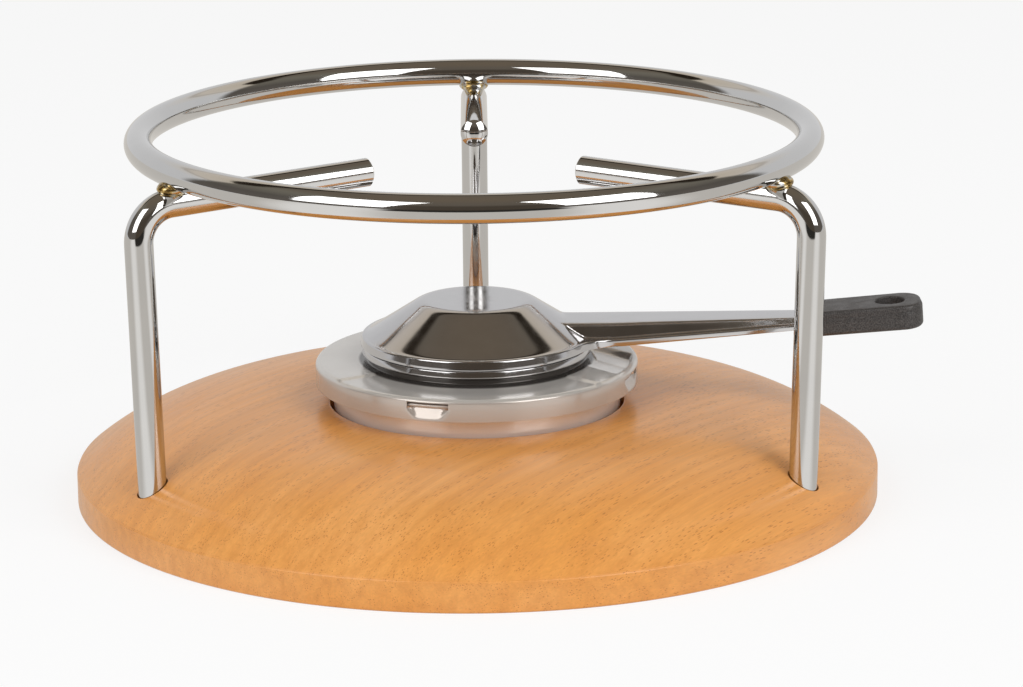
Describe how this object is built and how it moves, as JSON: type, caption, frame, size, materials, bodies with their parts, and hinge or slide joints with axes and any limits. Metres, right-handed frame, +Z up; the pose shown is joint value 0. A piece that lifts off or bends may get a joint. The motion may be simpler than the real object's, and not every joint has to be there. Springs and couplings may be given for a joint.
{
  "type": "fondue stand with paste burner",
  "caption": "Table-top fondue stand: domed round wooden plate with a sunk paste burner and long-handled snuffer, under a pot ring on bent wire legs with inward arms.",
  "frame": {"origin": "centre of the wooden plate's flat underside, on the burner's and the pot ring's common axis", "axes": "+Z up through the burner and the pot ring, +X along the snuffer's handle towards its grip, -Y towards the gap between the two front legs"},
  "size_m": [0.2745, 0.26, 0.1218],
  "materials": {
    "beech": "steamed beech, clear satin lacquer",
    "chromed_wire": "bright chrome plate on steel wire",
    "braze": "rough brazed brass bead, partly plated over",
    "zinc_steel": "zinc-plated steel",
    "stainless_sheet": "bright rolled stainless sheet, drawn and stamped",
    "polished_stainless": "polished stainless steel",
    "black_plastic": "heat-resistant black plastic, fine moulded texture"
  },
  "bodies": {
    "stand": {"base_plate": "beech", "pot_ring": "chromed_wire", "leg_left": "chromed_wire", "leg_right": "chromed_wire", "leg_rear": "chromed_wire", "bead_left": "braze", "bead_right": "braze", "bead_rear": "braze", "screw_left": "zinc_steel", "screw_right": "zinc_steel", "screw_rear": "zinc_steel", "washer_left": "zinc_steel", "washer_right": "zinc_steel", "washer_rear": "zinc_steel"},
    "burner": {"burner_pan": "stainless_sheet"},
    "collar": {"burner_collar": "stainless_sheet"},
    "cup": {"fuel_cup": "stainless_sheet"},
    "snuffer": {"snuffer_cap": "polished_stainless", "snuffer_ring": "polished_stainless", "handle_grip": "black_plastic"}
  },
  "joints": [
    {"name": "burner_lift", "type": "slide", "parent": "stand", "child": "burner", "axis": [0, 0, 1], "range_m": [0, 0.013]},
    {"name": "collar_turn", "type": "hinge", "parent": "burner", "child": "collar", "pos_m": [0, 0, 0.0406], "axis": [0, 0, 1], "range_deg": [-22, 82]},
    {"name": "cup_lift", "type": "slide", "parent": "collar", "child": "cup", "axis": [0, 0, 1], "range_m": [0, 0.009]},
    {"name": "snuffer_lift", "type": "slide", "parent": "cup", "child": "snuffer", "axis": [0, 0, 1], "range_m": [0, 0.018]}
  ]
}
